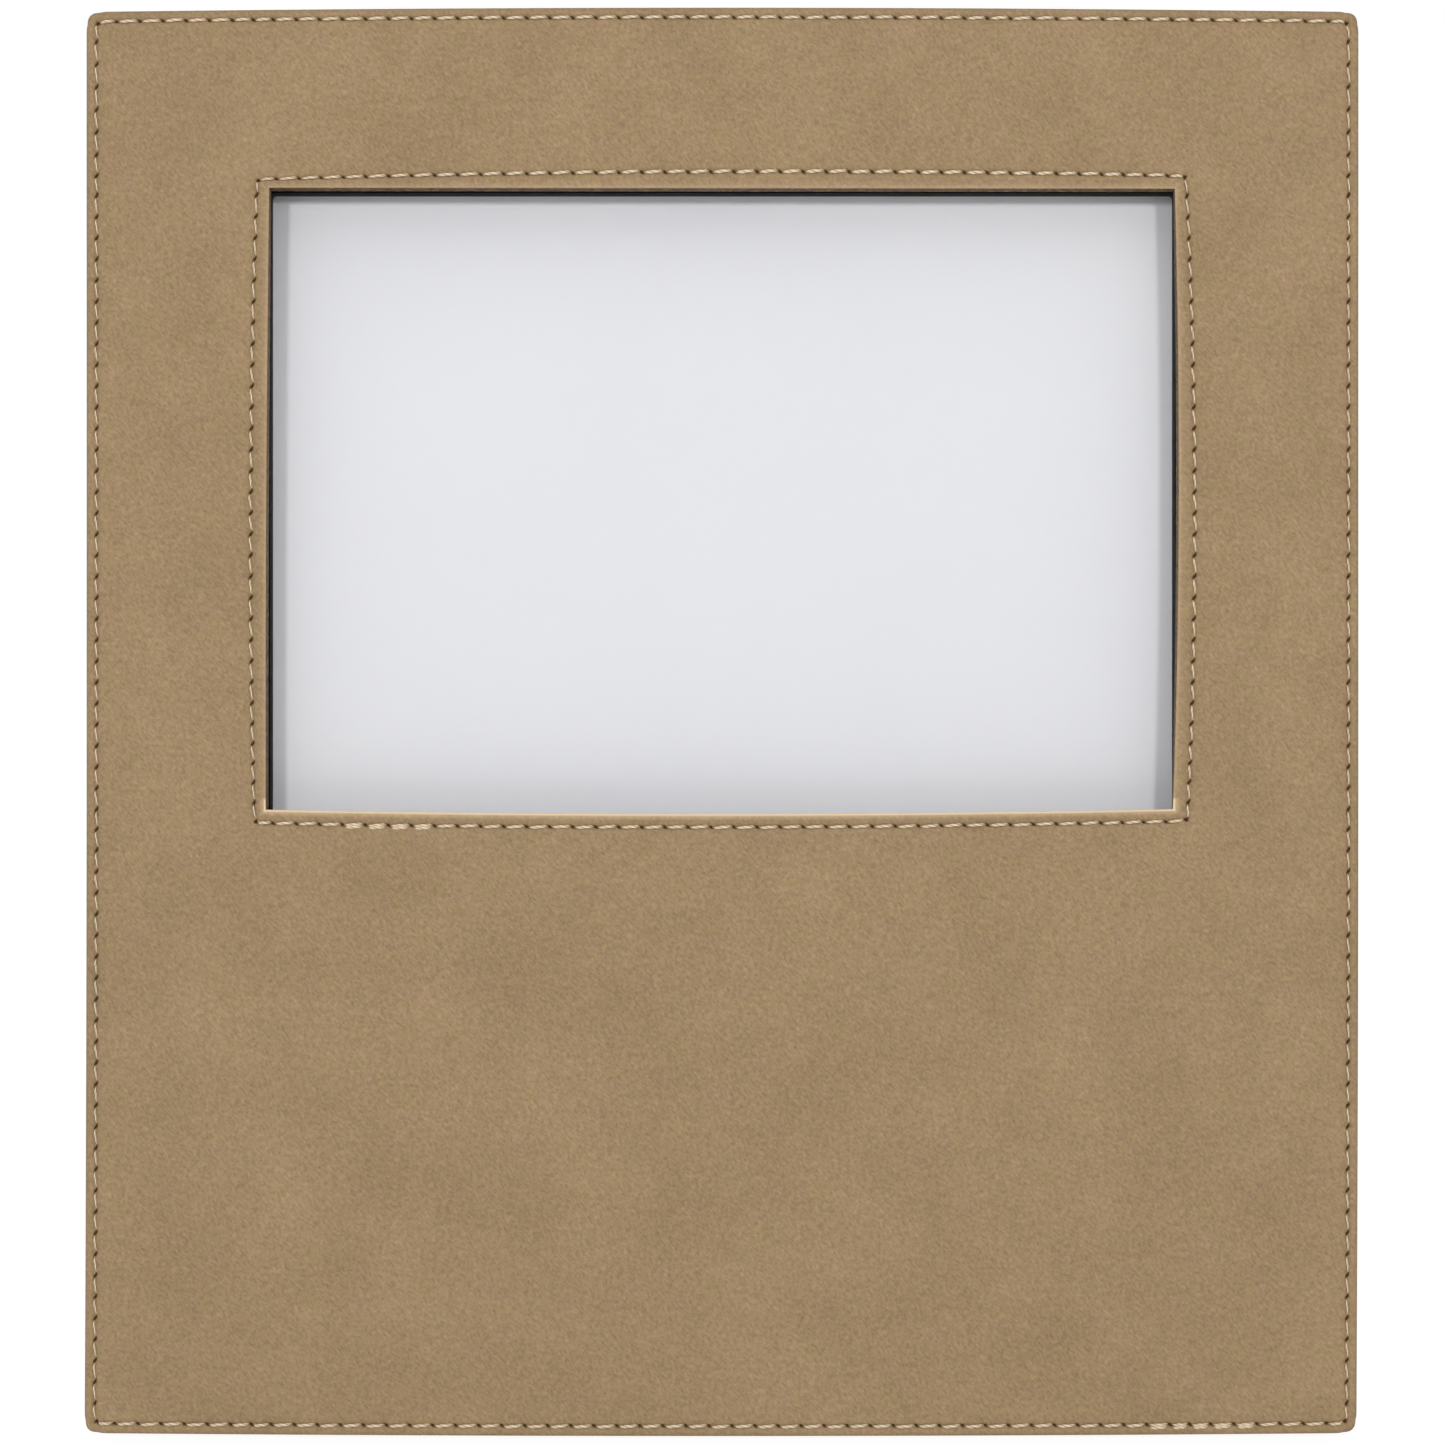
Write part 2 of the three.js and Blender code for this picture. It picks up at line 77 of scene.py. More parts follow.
panelMatrix = Matrix.Translation(panelOrigin) @ basis @ Matrix.Scale(millimetre, 4)


def panelSpan(node):
    # the ends of a solid's box in the panel's frame: across, up and out
    item = frame["nodes"][node]
    toPanel = panelMatrix.inverted() @ item.matrix_world
    places = [toPanel @ vert.co for vert in item.data.vertices]
    spans = []
    for axis in range(3):
        values = [place[axis] for place in places]
        spans.append((round(min(values), 2), round(max(values), 2)))
    return spans


def length(span):
    return round(span[1] - span[0], 2)


# Materials

def grey(value):
    return (value, value, value)


def newMaterial(name):
    material = bpy.data.materials.new(name)
    material.use_nodes = True
    nodes = material.node_tree.nodes
    return material, nodes, material.node_tree.links, nodes["Principled BSDF"]


def addNoise(nodes, links, scale, detail=4, roughness=0.6, stretch=(1, 1, 1), turn=0.0):
    place = nodes.new("ShaderNodeTexCoord")
    mapping = nodes.new("ShaderNodeMapping")
    mapping.inputs["Scale"].default_value = stretch
    if turn:
        # marks drawn out along a slanted line: here the scale is that of the marks themselves
        mapping.vector_type = "TEXTURE"
        mapping.inputs["Rotation"].default_value = (0, turn, 0)
    texture = nodes.new("ShaderNodeTexNoise")
    texture.inputs["Scale"].default_value = scale
    texture.inputs["Detail"].default_value = detail
    texture.inputs["Roughness"].default_value = roughness
    links.new(place.outputs["Object"], mapping.inputs["Vector"])
    links.new(mapping.outputs["Vector"], texture.inputs["Vector"])
    return texture.outputs["Fac"]


def addRamp(nodes, links, factor, stops):
    ramp = nodes.new("ShaderNodeValToRGB")
    ramp.color_ramp.elements[0].position = stops[0][0]
    ramp.color_ramp.elements[0].color = (*stops[0][1], 1)
    ramp.color_ramp.elements[1].position = stops[-1][0]
    ramp.color_ramp.elements[1].color = (*stops[-1][1], 1)
    for position, colour in stops[1:-1]:
        element = ramp.color_ramp.elements.new(position)
        element.color = (*colour, 1)
    links.new(factor, ramp.inputs["Fac"])
    return ramp.outputs["Color"]


def addMix(nodes, links, factor, first, second, blend="MIX"):
    mix = nodes.new("ShaderNodeMix")
    mix.data_type = "RGBA"
    mix.blend_type = blend
    for name, value in (("Factor", factor), ("A", first), ("B", second)):
        socket = mix.inputs[name]
        if isinstance(value, bpy.types.NodeSocket):
            links.new(value, socket)
        elif isinstance(value, tuple):
            socket.default_value = (*value, 1)
        else:
            socket.default_value = value
    return mix.outputs["Result"]


def addBump(nodes, links, height, strength, distance, normal=None):
    bump = nodes.new("ShaderNodeBump")
    bump.inputs["Strength"].default_value = strength
    bump.inputs["Distance"].default_value = distance
    links.new(height, bump.inputs["Height"])
    if normal:
        links.new(normal, bump.inputs["Normal"])
    return bump.outputs["Normal"]


def addVertexColour(nodes, links, layer):
    colour = nodes.new("ShaderNodeVertexColor")
    colour.layer_name = layer
    parts = nodes.new("ShaderNodeSeparateColor")
    links.new(colour.outputs["Color"], parts.inputs["Color"])
    return parts.outputs


def mixedGrain(name, dark, light, scale, roughness, bumpScale, bumpDepth):
    material, nodes, links, shader = newMaterial(name)
    cloud = addNoise(nodes, links, scale)
    colour = addRamp(nodes, links, cloud, [(0.32, dark), (0.68, light)])
    links.new(colour, shader.inputs["Base Color"])
    shader.inputs["Roughness"].default_value = roughness
    grain = addNoise(nodes, links, bumpScale, 3, 0.7)
    links.new(addBump(nodes, links, grain, 0.6, bumpDepth), shader.inputs["Normal"])
    return material


def leatheretteMaterial():
    material, nodes, links, shader = newMaterial("leatherette")
    cloud = addNoise(nodes, links, 55, 5, 0.62)
    base = addRamp(nodes, links, cloud, [(0.3, (0.325, 0.223, 0.118)), (0.7, (0.38, 0.264, 0.143))])
    tint = addNoise(nodes, links, 420, 3, 0.6, (1, 1, 1.3))
    hue = addRamp(nodes, links, tint, [(0.34, (0.97, 1.0, 0.94)), (0.66, (1.03, 1.0, 1.07))])
    base = addMix(nodes, links, 1.0, base, hue, "MULTIPLY")
    speck = addNoise(nodes, links, 1400, 3, 0.65)
    fine = addRamp(nodes, links, speck, [(0.25, grey(0.84)), (0.75, grey(1.16))])
    base = addMix(nodes, links, 1.0, base, fine, "MULTIPLY")
    nap = addNoise(nodes, links, 2600, 2, 0.6, (2.6, 1, 1), radians(50))
    streaks = addRamp(nodes, links, nap, [(0.28, grey(0.82)), (0.72, grey(1.18))])
    base = addMix(nodes, links, 1.0, base, streaks, "MULTIPLY")

    # the covering's marks: red where a needle went in, painted as shade in the hole, green on the window's
    # wall, blue where worn pale, with a painted highlight added on the window's lower edge
    marks = addVertexColour(nodes, links, "marks")
    mottle = addNoise(nodes, links, 900, 4, 0.7)
    wall = addRamp(nodes, links, mottle, [
        (0.4, (0.05, 0.02, 0.003)),
        (0.56, (0.17, 0.085, 0.016)),
        (0.72, (0.42, 0.28, 0.1)),
    ])
    base = addMix(nodes, links, marks["Green"], base, wall)
    # worn pale edge; on the window's lower edge this is also a painted highlight of light from above
    base = addMix(nodes, links, marks["Blue"], base, (0.86, 0.65, 0.42))
    # painted shade in each needle hole
    pit = addRamp(nodes, links, marks["Red"], [(0.2, grey(0)), (0.55, grey(1))])
    base = addMix(nodes, links, pit, base, (0.075, 0.036, 0.008))
    links.new(base, shader.inputs["Base Color"])

    shader.inputs["Roughness"].default_value = 0.78
    shader.inputs["Specular IOR Level"].default_value = 0.25
    shader.inputs["Sheen Weight"].default_value = 0.06
    shader.inputs["Sheen Roughness"].default_value = 0.5
    grain = addNoise(nodes, links, 1100, 4, 0.7)
    soft = addNoise(nodes, links, 110, 4, 0.5, (1, 0.6, 0.6))
    lifted = addBump(nodes, links, soft, 0.35, 0.0008)
    links.new(addBump(nodes, links, grain, 0.4, 0.00012, lifted), shader.inputs["Normal"])
    return material


def threadMaterial():
    material, nodes, links, shader = newMaterial("thread")
    plyShade = addVertexColour(nodes, links, "plyShade")
    # painted shade: the thread darkens in the valleys between its plies and at the stitch's ends
    colour = addRamp(nodes, links, plyShade["Red"], [
        (0.0, (0.3, 0.2, 0.1)),
        (0.45, (0.62, 0.47, 0.3)),
        (1.0, (0.9, 0.76, 0.55)),
    ])
    links.new(colour, shader.inputs["Base Color"])
    shader.inputs["Roughness"].default_value = 0.55
    shader.inputs["Sheen Weight"].default_value = 0.2
    fibre = addNoise(nodes, links, 4000, 2, 0.6)
    links.new(addBump(nodes, links, fibre, 0.4, 0.00005), shader.inputs["Normal"])
    return material


def velveteenMaterial():
    material, nodes, links, shader = newMaterial("velveteen")
    nap = addNoise(nodes, links, 260, 5, 0.75)
    colour = addRamp(nodes, links, nap, [(0.3, (0.003, 0.003, 0.004)), (0.75, (0.014, 0.012, 0.016))])
    links.new(colour, shader.inputs["Base Color"])
    shader.inputs["Roughness"].default_value = 1.0
    shader.inputs["Specular IOR Level"].default_value = 0.1
    shader.inputs["Sheen Weight"].default_value = 0.04
    shader.inputs["Sheen Roughness"].default_value = 0.6
    pile = addNoise(nodes, links, 2600, 3, 0.8)
    links.new(addBump(nodes, links, pile, 0.8, 0.0003), shader.inputs["Normal"])
    return material


def platedSteelMaterial():
    material, nodes, links, shader = newMaterial("platedSteel")
    haze = addNoise(nodes, links, 180, 4, 0.6)
    colour = addRamp(nodes, links, haze, [(0.3, (0.56, 0.54, 0.5)), (0.7, (0.68, 0.66, 0.62))])
    links.new(colour, shader.inputs["Base Color"])
    shader.inputs["Metallic"].default_value = 1.0
    polish = addRamp(nodes, links, haze, [(0.3, grey(0.22)), (0.7, grey(0.36))])
    links.new(polish, shader.inputs["Roughness"])
    scratch = addNoise(nodes, links, 700, 3, 0.6, (0.15, 1, 1))
    links.new(addBump(nodes, links, scratch, 0.12, 0.00006), shader.inputs["Normal"])
    return material


def glassMaterial():
    material, nodes, links, shader = newMaterial("pane")
    shader.inputs["Base Color"].default_value = (0.5, 0.55, 0.55, 1)
    shader.inputs["Alpha"].default_value = 0.04
    dust = addNoise(nodes, links, 40, 3, 0.5)
    clean = addRamp(nodes, links, dust, [(0.3, grey(0.01)), (0.8, grey(0.03))])
    links.new(clean, shader.inputs["Roughness"])
    return material


leatherette = leatheretteMaterial()
thread = threadMaterial()
velveteen = velveteenMaterial()
platedSteel = platedSteelMaterial()
glass = glassMaterial()
rawBoard = mixedGrain("rawBoard", (0.1, 0.045, 0.015), (0.19, 0.1, 0.04), 400, 0.9, 1500, 0.0002)
mdf = mixedGrain("mdf", (0.22, 0.13, 0.06), (0.31, 0.19, 0.1), 300, 0.9, 1800, 0.00015)
insertPaper = mixedGrain("insertPaper", (0.87, 0.87, 0.91), (0.89, 0.89, 0.925), 12, 0.7, 2500, 0.00002)
greyCard = mixedGrain("greyCard", (0.4, 0.37, 0.31), (0.5, 0.46, 0.39), 500, 0.95, 1600, 0.0001)
print("materials made")


# Small helpers

def addPiece(bm, name, material, slotName, body, replaced):
    mesh = bpy.data.meshes.new(name)
    bm.to_mesh(mesh)
    bm.free()
    mesh.materials.append(material)
    piece = bpy.data.objects.new(name, mesh)
    bpy.context.scene.collection.objects.link(piece)
    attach(piece, body)
    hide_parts(*replaced)
    return piece


def spread(start, end, count):
    return [start + (end - start) * i / count for i in range(1, count)]


def nearestGap(places, value):
    i = bisect_left(places, value)
    near = places[max(i - 1, 0):i + 1]
    return min((value - place for place in near), key=abs)


def sign(value):
    return 1 if value > 0 else -1


def bell(value, width):
    return exp(-(value / width) ** 2)


def clamp(value, low, high):
    return max(low, min(high, value))


# The covering

gluedGap = 0.3  # between the covering and what lies beside it, as in the solids
liningSetBack = 0.4  # of the window's lining behind the covering's wall
coverAcross, coverUp, coverDeep = panelSpan("front_cover")
liningAcross, liningUp, liningDeep = panelSpan("window_lining")
cover = {
    "width": length(coverAcross),
    "height": length(coverUp),
    "depth": length(coverDeep),
    "thickness": 1.0,
    "cornerRadius": 1.8,
    "edgeRound": 1.2,
    "edgeShares": (0.25, 0.5, 0.75, 1.0),  # loops over the front edge
    "rearShares": (0.4, 0.7, 1.0),  # loops over the rear edge
    "sideLevels": (4.5, 8.5, 12.5),  # loops down the side
    "sideSlack": 0.12,  # the sides draw in by up to this
    "slackWave": (9, 4),  # its length along the side and down it
    "rearLoops": (4.0, 8.0),
    "rearTurnIn": panelSpan("rear_lining")[1][0] - gluedGap,  # from the side edge
    "seamInset": 1.9,
    "base": -0.16,  # of the flat leather below the highest point of its folds
    "swells": ((0.04, 17, 0), (0.02, 5, 7)),  # height, length and slice of the noise
}
window = {
    "halfWidth": length(liningAcross) / 2 - liningSetBack,
    "halfHeight": length(liningUp) / 2 - liningSetBack,
    "middle": sum(liningUp) / 2,
    "edgeRound": 0.45,
    "edgeWearAndHighlight": ((0.33, 1.0), (0.66, 1.0), (1.0, 0.7)),  # loops over the edge and how pale each is: worn pale, on the lower edge also a painted highlight
    "faceWearAndHighlight": 0.35,
    "sideWearAndHighlight": 0.22,  # of the upper and side edges, against the lower one, which also carries a painted highlight
    "lowShare": 0.97,
    "wallStart": 0.75,
    "wallMiddle": 2.4,
    "wallDepth": -liningDeep[1] - gluedGap,
    "wallRound": 0.3,
    "turnIn": 10.0,
    "seamInset": 2.3,
}
# How far the covering's window edge and its seam stray outwards from straight, in mm, at the two corners and
# in the middle of each side: bottom to top, or left to right.
stray = {
    "left": {"edge": (0.0, -0.1, -0.65), "seam": (-0.2, 0.5, -0.7)},
    "right": {"edge": (-1.2, -0.1, -0.85), "seam": (-0.7, 0.6, -1.0)},
    "top": {"edge": (0.1, 0.0, -0.1), "seam": (-0.7, 0.8, 0.0)},
    "bottom": {"edge": (-1.3, -0.5, -1.4), "seam": (-1.15, -0.4, -1.5)},
}
strayFade = {
    "beyondSeam": 9,
    "intoWindow": 12,
    "pastCorner": 7,
    "down": 15,
}
# The outer edge bows out at the top and bottom and leans at the sides.
bow = {
    "top": 0.85,
    "topStart": 229.0,
    "bottom": 0.6,
    "bottomStart": 26.0,
    "reach": 26.0,
    "side": 0.4,
    "down": 12.0,
}
seamFold = {
    "shoulder": 0.16,  # broad dip of the leather towards the seam
    "shoulderWidth": 2.4,
    "groove": 0.34,
    "grooveWidth": 0.42,
    "pucker": 0.17,  # beside each needle hole
    "puckerLength": 0.6,
    "puckerWidth": 1.5,
    "roll": 0.1,  # of the narrow strip beside the seam
    "rollPlace": 1.0,
    "rollWidth": 0.55,
    "pit": 0.5,  # at each needle hole
    "pitLength": 0.42,
    "pitWidth": 0.24,
    "pitSlant": 0.5,
    # the painted shade in each needle hole: its length and width
    "holeShadeLength": 0.52,
    "holeShadeWidth": 0.27,
    "cornerPull": 0.35,
    "cornerReach": 0.9,
}
# Fine lines beside the seams and at each needle hole
grid = {
    "acrossSeam": (0.2, 0.4, 0.7, 1.15, 1.8, 2.7),
    "acrossStrip": 4,  # of these, between the window's seam and its edge
    "edgeShares": (0.3, 0.65),  # between the outer seam and the edge
    "cornerStitch": 3.6,  # from a seam's corner to the next needle hole
    "outerReach": 3.8,  # from the window's seam to the first whole stitch of the field
    "besideHole": 0.25,
    "cutsPerStitch": 5,
    "shortestCut": 2.5,
    "drawTogether": 0.55,  # of the points along a stitch, towards its holes
    "tolerance": 0.01,
}
stitchCount = {"side": 5, "above": 5, "below": 26, "windowAcross": 39, "windowUp": 29}

halfWidth = cover["width"] / 2
panelMiddle = cover["height"] / 2
cornerU = halfWidth - cover["cornerRadius"]
cornerV = panelMiddle - cover["cornerRadius"]
edgeU = halfWidth - cover["edgeRound"]
edgeV = panelMiddle - cover["edgeRound"]
outerHalfU = halfWidth - cover["seamInset"]
outerHalfV = panelMiddle - cover["seamInset"]
windowEdgeU = window["halfWidth"] + window["edgeRound"]
windowEdgeV = window["halfHeight"] + window["edgeRound"]
windowHalfU = window["halfWidth"] + window["seamInset"]
windowHalfV = window["halfHeight"] + window["seamInset"]


def sideLines(outerSeam, windowSeam, edge, windowEdge, fieldStitches):
    outerCorner = outerSeam - grid["cornerStitch"]
    windowCorner = windowSeam - grid["cornerStitch"]
    fieldStart = windowSeam + grid["outerReach"]
    lines = [edge, outerSeam, outerCorner]
    lines += [outerSeam + (edge - outerSeam) * share for share in grid["edgeShares"]]
    lines += [outerSeam - step for step in grid["acrossSeam"]]
    lines += [windowSeam, fieldStart, fieldStart - grid["besideHole"]]
    lines += [windowSeam + step for step in grid["acrossSeam"]]
    lines += [windowEdge, windowCorner, windowCorner + grid["besideHole"]]
    lines += [windowSeam - step for step in grid["acrossSeam"][:grid["acrossStrip"]]]
    holes = [outerSeam, outerCorner, fieldStart, windowSeam, windowCorner]
    field = spread(fieldStart, outerCorner, fieldStitches)
    return lines + field, holes + field


rightLines, rightHoles = sideLines(outerHalfU, windowHalfU, edgeU, windowEdgeU, stitchCount["side"])
lastU = windowHalfU - grid["cornerStitch"]
middleU = spread(-lastU, lastU, stitchCount["windowAcross"])
linesU = sorted(rightLines + [-line for line in rightLines] + middleU)
holesU = sorted(rightHoles + [-hole for hole in rightHoles] + middleU)

# Up the panel, the window's middle isn't the panel's middle.
rise = window["middle"] - panelMiddle
topLines, topHoles = sideLines(
    outerHalfV - rise, windowHalfV, edgeV - rise, windowEdgeV, stitchCount["above"],
)
lowLines, lowHoles = sideLines(
    outerHalfV + rise, windowHalfV, edgeV + rise, windowEdgeV, stitchCount["below"],
)
lastV = windowHalfV - grid["cornerStitch"]
middleV = spread(-lastV, lastV, stitchCount["windowUp"])
linesV = sorted(window["middle"] + line for line in topLines + [-line for line in lowLines] + middleV)
holesV = sorted(window["middle"] + hole for hole in topHoles + [-hole for hole in lowHoles] + middleV)

seams = {
    "outer": {"halfU": outerHalfU, "halfV": outerHalfV, "middle": panelMiddle, "stripSide": 1},
    "window": {"halfU": windowHalfU, "halfV": windowHalfV, "middle": window["middle"], "stripSide": -1},
}
for seam in seams.values():
    furthestU = seam["halfU"] + grid["tolerance"]
    furthestV = seam["halfV"] + grid["tolerance"]
    seam["holesU"] = [hole for hole in holesU if abs(hole) < furthestU]
    seam["holesV"] = [hole for hole in holesV if abs(hole - seam["middle"]) < furthestV]


def seamPlace(u, v, seam):
    # signed distance across the seam (outwards), signed distance along it from the nearest needle hole
    overU = abs(u) - seam["halfU"]
    overV = abs(v - seam["middle"]) - seam["halfV"]
    if overU > 0 and overV > 0:
        return hypot(overU, overV), hypot(overU, overV)
    if overU > overV:
        return overU, nearestGap(seam["holesV"], v) * sign(u)
    return overV, -nearestGap(seam["holesU"], u) * sign(v - seam["middle"])


def foldHeight(u, v):
    # height of the leather's face and how much painted shade of a needle hole is here
    height = cover["base"]
    for lift, wave, part in cover["swells"]:
        height += lift * noise.noise(Vector((u / wave, v / wave, part)))
    hole = 0.0
    for seam in seams.values():
        across, along = seamPlace(u, v, seam)
        height -= seamFold["shoulder"] * bell(across, seamFold["shoulderWidth"])
        height -= seamFold["groove"] * bell(across, seamFold["grooveWidth"])
        pucker = bell(along, seamFold["puckerLength"]) * bell(across, seamFold["puckerWidth"])
        height -= seamFold["pucker"] * pucker
        rollPlace = seam["stripSide"] * seamFold["rollPlace"]
        height += seamFold["roll"] * bell(across - rollPlace, seamFold["rollWidth"])
        slanted = across - seamFold["pitSlant"] * along
        pit = bell(along, seamFold["pitLength"]) * bell(slanted, seamFold["pitWidth"])
        height -= seamFold["pit"] * pit
        # the painted shade of the needle hole
        hole = max(hole, bell(along, seamFold["holeShadeLength"]) * bell(slanted, seamFold["holeShadeWidth"]))
    return height, hole


def drawnIn(u, v):
    # a seam cuts its corners a little
    for seam in seams.values():
        awayU = abs(u) - seam["halfU"]
        awayV = abs(v - seam["middle"]) - seam["halfV"]
        pull = seamFold["cornerPull"] * bell(hypot(awayU, awayV), seamFold["cornerReach"])
        u -= pull * sign(u)
        v -= pull * sign(v - seam["middle"])
    return u, v


def bowed(values, share):
    start, middle, end = values
    return middle + (end - start) / 2 * share + ((start + end) / 2 - middle) * share ** 2


def strayed(u, v, z):
    # the sewn covering isn't drawn quite straight round the boards
    fromMiddle = (u, v - window["middle"])
    shareU = clamp(fromMiddle[0] / window["halfWidth"], -1, 1)
    shareV = clamp(fromMiddle[1] / window["halfHeight"], -1, 1)
    beside = (abs(fromMiddle[0]) - window["halfWidth"], abs(fromMiddle[1]) - window["halfHeight"])
    deep = clamp(1 + z / strayFade["down"], 0, 1)
    moved = [u, v]
    for axis, share, names in ((0, shareV, ("left", "right")), (1, shareU, ("bottom", "top"))):
        side = stray[names[1] if fromMiddle[axis] > 0 else names[0]]
        off = beside[axis]
        toSeam = clamp(off / window["seamInset"], 0, 1)
        amount = bowed(side["edge"], share) * (1 - toSeam) + bowed(side["seam"], share) * toSeam
        if off > 0:
            amount *= bell(max(0, off - window["seamInset"]), strayFade["beyondSeam"])
        else:
            amount *= bell(off, strayFade["intoWindow"])
        amount *= deep * bell(max(0, beside[1 - axis] - window["seamInset"]), strayFade["pastCorner"])
        moved[axis] += amount * sign(fromMiddle[axis])
    down = clamp(1 + z / bow["down"], 0, 1)
    arch = down * (1 - (u / halfWidth) ** 2)
    moved[1] += bow["top"] * arch * clamp((v - bow["topStart"]) / bow["reach"], 0, 1)
    moved[1] -= bow["bottom"] * arch * clamp((bow["bottomStart"] - v) / bow["reach"], 0, 1)
    moved[0] -= bow["side"] * down * clamp(1 - v / panelMiddle, 0, 1) ** 2
    return moved[0], moved[1], z


def withinWindow(centre, margin=0.0):
    levelGap = abs(centre.y - window["middle"])
    return abs(centre.x) < windowEdgeU + margin and levelGap < windowEdgeV + margin


def edgeMiddle(edge):
    return (edge.verts[0].co + edge.verts[1].co) / 2


def layGrid(bm):
    bmesh.ops.create_grid(bm, x_segments=len(linesU) - 1, y_segments=len(linesV) - 1, size=0.5)
    for vert in bm.verts:
        column = round((vert.co.x + 0.5) * (len(linesU) - 1))
        row = round((vert.co.y + 0.5) * (len(linesV) - 1))
        vert.co = (linesU[column], linesV[row], 0)
    inside = [face for face in bm.faces if withinWindow(face.calc_center_median())]
    bmesh.ops.delete(bm, geom=inside, context="FACES")


def besideSeam(edge):
    reach = grid["acrossSeam"][-1] + grid["tolerance"]
    centre = edgeMiddle(edge)
    level = abs(edge.verts[0].co.y - edge.verts[1].co.y) < grid["tolerance"]
    for seam in seams.values():
        pastU = abs(centre.x) - seam["halfU"]
        pastV = abs(centre.y - seam["middle"]) - seam["halfV"]
        if level and abs(pastV) < reach and pastU < 0:
            return True
        if not level and abs(pastU) < reach and pastV < 0:
            return True
    return False


def crowded(lines, value):
    # points draw together at the needle holes
    nudge = 1e-4
    i = clamp(bisect_left(lines, value - nudge), 1, len(lines) - 1)
    start, end = lines[i - 1], lines[i]
    share = (value - start) / (end - start)
    return start + (end - start) * (share - grid["drawTogether"] * sin(2 * pi * share) / (2 * pi))


def roundedCorner(u, v):
    inU = abs(u) - cornerU
    inV = abs(v - panelMiddle) - cornerV
    if inU > 0 and inV > 0:
        pull = max(inU, inV) / hypot(inU, inV)
        u = sign(u) * (cornerU + inU * pull)
        v = panelMiddle + sign(v - panelMiddle) * (cornerV + inV * pull)
    return u, v


def loopOut(bm, edges, place):
    # draws an open edge on and puts the new edge where place says
    made = bmesh.ops.extrude_edge_only(bm, edges=edges)["geom"]
    verts = [item for item in made if isinstance(item, bmesh.types.BMVert)]
    fresh = set(verts)
    for vert in verts:
        vert.co = place(vert)
    return [item for item in made if isinstance(item, bmesh.types.BMEdge) and fresh.issuperset(item.verts)]


def paint(edges, marks, colour):
    for edge in edges:
        for vert in edge.verts:
            vert[marks] = colour


def paintWearAndHighlight(edges, marks, strength):
    # the window's edge is worn pale; the lower edge is painted palest, a painted highlight of light from
    # above
    for edge in edges:
        for vert in edge.verts:
            low = (window["middle"] - vert.co.y) / window["halfHeight"]
            amount = strength * (1 if low > window["lowShare"] else window["sideWearAndHighlight"])
            vert[marks] = (0, 0, amount, 1)


def outwards(place):
    nearU = clamp(place.x, -cornerU, cornerU)
    nearV = clamp(place.y, panelMiddle - cornerV, panelMiddle + cornerV)
    return Vector((place.x - nearU, place.y - nearV)).normalized()


def wrapPlace(flat, inset, depth, slack=0.0):
    # a place round the panel's outer edge: so far in from its side, so far behind its face
    rounding = cover["edgeRound"]
    waveAlong, waveDown = cover["slackWave"]

    def place(vert):
        start = vert[flat]
        side = outwards(start)
        if inset > rounding:
            # further in, the loops are plain rectangles
            u = clamp(start.x + side.x * rounding, -halfWidth + inset, halfWidth - inset)
            v = clamp(start.y + side.y * rounding, inset, cover["height"] - inset)
        else:
            u = start.x + side.x * (rounding - inset)
            v = start.y + side.y * (rounding - inset)
        # the sides are nowhere fuller than the boards under them
        puff = -slack * abs(noise.noise(Vector((u / waveAlong, v / waveAlong, depth / waveDown))))
        fade = clamp(1 - depth / rounding, 0, 1)
        return Vector((u + side.x * puff, v + side.y * puff, -depth + start.z * fade))
    return place


def wrapOutside(bm, loop, marks, flat):
    # over the outer edge, down the side and in on the rear
    rounding = cover["edgeRound"]
    depth = cover["depth"]
    inside = cover["thickness"]
    for share in cover["edgeShares"]:
        angle = share * pi / 2
        inset = rounding * (1 - sin(angle))
        loop = loopOut(bm, loop, wrapPlace(flat, inset, rounding * (1 - cos(angle))))
        paint(loop, marks, (0, 0, 0, 1))
    for level in (*cover["sideLevels"], depth - rounding):
        loop = loopOut(bm, loop, wrapPlace(flat, 0, level, cover["sideSlack"]))
    for share in cover["rearShares"]:
        angle = share * pi / 2
        level = depth - rounding * (1 - sin(angle))
        loop = loopOut(bm, loop, wrapPlace(flat, rounding * (1 - cos(angle)), level))
    for inset in (*cover["rearLoops"], cover["rearTurnIn"]):
        loop = loopOut(bm, loop, wrapPlace(flat, inset, depth))
    loop = loopOut(bm, loop, wrapPlace(flat, cover["rearTurnIn"], depth - inside))
    loop = loopOut(bm, loop, wrapPlace(flat, inside, depth - inside))
    return loopOut(bm, loop, wrapPlace(flat, inside, inside + gluedGap))


def windowPlace(flat, outset, depth):
    # a place round the window: so far out from its edge, so far behind the face
    step = outset - window["edgeRound"]
    near = 0.5

    def place(vert):
        start = vert[flat]
        u = start.x
        v = start.y
        toU = windowEdgeU - abs(u)
        toV = windowEdgeV - abs(v - window["middle"])
        if toU < near and toU <= toV + near:
            u += sign(start.x) * step
        if toV < near and toV <= toU + near:
            v += sign(start.y - window["middle"]) * step
        fade = clamp(1 - depth / window["edgeRound"], 0, 1)
        return Vector((u, v, -depth + start.z * fade))
    return place


